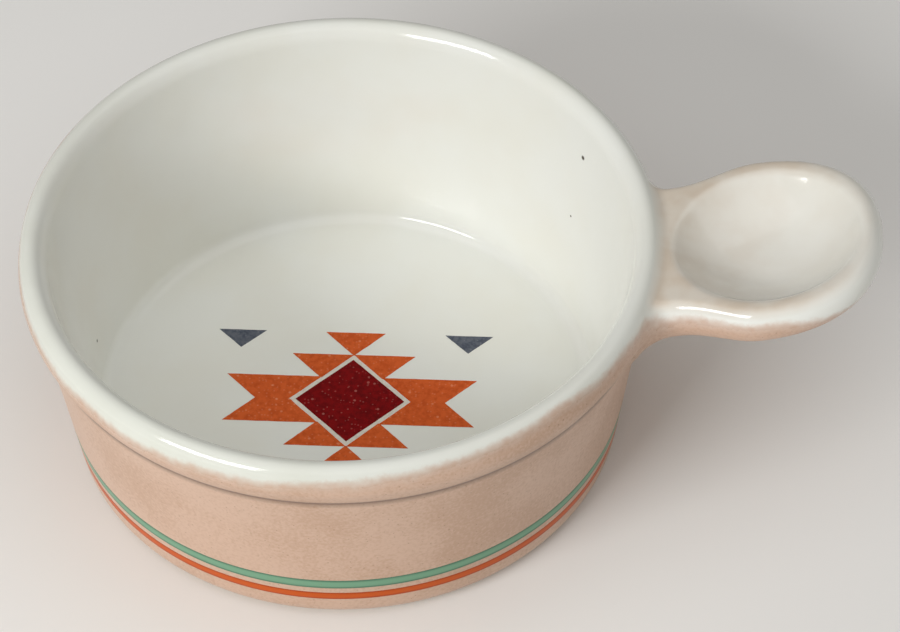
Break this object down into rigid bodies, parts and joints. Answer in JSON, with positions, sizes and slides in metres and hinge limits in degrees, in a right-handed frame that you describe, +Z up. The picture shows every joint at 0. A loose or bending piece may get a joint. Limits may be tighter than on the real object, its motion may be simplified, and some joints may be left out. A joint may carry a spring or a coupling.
{
  "type": "soup bowl",
  "caption": "Round stoneware soup bowl with a rolled rim, a stub handle with a dished thumb rest, banded lines round its foot and a stepped diamond motif on its floor.",
  "frame": {"origin": "on the table, under the middle of the footprint of bowl and handle; the bowl's axis stands 22.3 mm from it towards -X", "axes": "+Z up along the bowl's axis, +X from the bowl towards the handle's tip"},
  "size_m": [0.1786, 0.134, 0.0617],
  "materials": {
    "stoneware": "peach satin glaze with fine speckle",
    "ivory_glaze": "gloss",
    "teal_slip": "brushed band under a satin glaze",
    "rust_slip": "brushed band under a satin glaze",
    "orange_print": "fired-on colour with pale specks",
    "red_print": "fired-on colour with pale specks",
    "pale_print": "fired-on colour",
    "blue_print": "fired-on colour"
  },
  "bodies": {
    "root": {"bowl_body": "stoneware", "liner_glaze": "ivory_glaze", "handle": "stoneware", "thumb_rest_glaze": "ivory_glaze", "teal_band": "teal_slip", "rust_band": "rust_slip", "center_diamond": "red_print", "diamond_border": "pale_print", "left_bar": "orange_print", "right_bar": "orange_print", "upper_left_wing": "orange_print", "upper_right_wing": "orange_print", "lower_left_wing": "orange_print", "lower_right_wing": "orange_print", "upper_cap_triangle": "orange_print", "lower_cap_triangle": "orange_print", "upper_left_blue_triangle": "blue_print", "upper_right_blue_triangle": "blue_print", "lower_left_blue_triangle": "blue_print", "lower_right_blue_triangle": "blue_print"}
  },
  "joints": []
}
